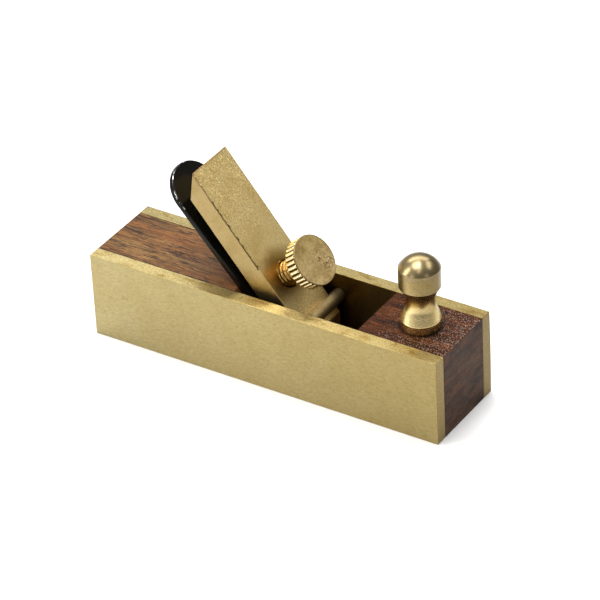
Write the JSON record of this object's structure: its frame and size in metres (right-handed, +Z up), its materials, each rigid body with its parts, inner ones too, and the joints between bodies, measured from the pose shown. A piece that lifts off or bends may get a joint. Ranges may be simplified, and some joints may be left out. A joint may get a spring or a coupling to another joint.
{
  "type": "hand plane",
  "caption": "Small wood-filled block plane: metal side plates, wedge-shaped throat, round-topped blade, lever cap with knurled thumb screw, cross pin and turned front knob.",
  "frame": {"origin": "middle of the sole, on the surface that the plane stands on", "axes": "+X along the sole towards the front knob, +Y across to the far side plate, +Z up out of the sole"},
  "size_m": [0.085, 0.022, 0.045],
  "materials": {
    "side_brass": "satin",
    "cap_brass": "satin",
    "screw_brass": "polished",
    "knob_brass": "polished",
    "pin_brass": "satin",
    "dowel_brass": "satin",
    "heel_wood": "oiled",
    "toe_wood": "oiled",
    "blade_steel": "gloss black"
  },
  "bodies": {
    "stock": {"near_side_plate": "side_brass", "far_side_plate": "side_brass", "toe_block": "toe_wood", "heel_block": "heel_wood", "toe_dowels": "dowel_brass", "heel_dowels": "dowel_brass", "cross_pin": "pin_brass", "front_knob": "knob_brass", "knob_stud": "dowel_brass"},
    "blade": {"blade": "blade_steel"},
    "lever_cap": {"lever_cap": "cap_brass"},
    "screw_pad": {"screw_pad": "dowel_brass"},
    "thumb_screw": {"thumb_screw": "screw_brass"}
  },
  "joints": [
    {"name": "blade_slide", "type": "slide", "parent": "stock", "child": "blade", "axis": [-0.6574, 0, 0.7536], "range_m": [-0.0005, 0.026]},
    {"name": "lever_cap_rock", "type": "hinge", "parent": "stock", "child": "lever_cap", "pos_m": [0.00782, 0, 0.01486], "axis": [0, -1, 0], "range_deg": [0, 3.9]},
    {"name": "thumb_screw_advance", "type": "slide", "parent": "lever_cap", "child": "screw_pad", "axis": [0.7793, 0, 0.6266], "range_m": [0, 0.003]},
    {"name": "thumb_screw_turn", "type": "hinge", "parent": "screw_pad", "child": "thumb_screw", "pos_m": [0.00046, 0, 0.02242], "axis": [0.7793, 0, 0.6266], "range_deg": [0, 1080]}
  ],
  "couplings": [
    {"joint": "thumb_screw_turn", "follows": "thumb_screw_advance", "rad_per_m": 6283.2},
    {"joint": "lever_cap_rock", "follows": "thumb_screw_advance", "rad_per_m": 22.689}
  ]
}
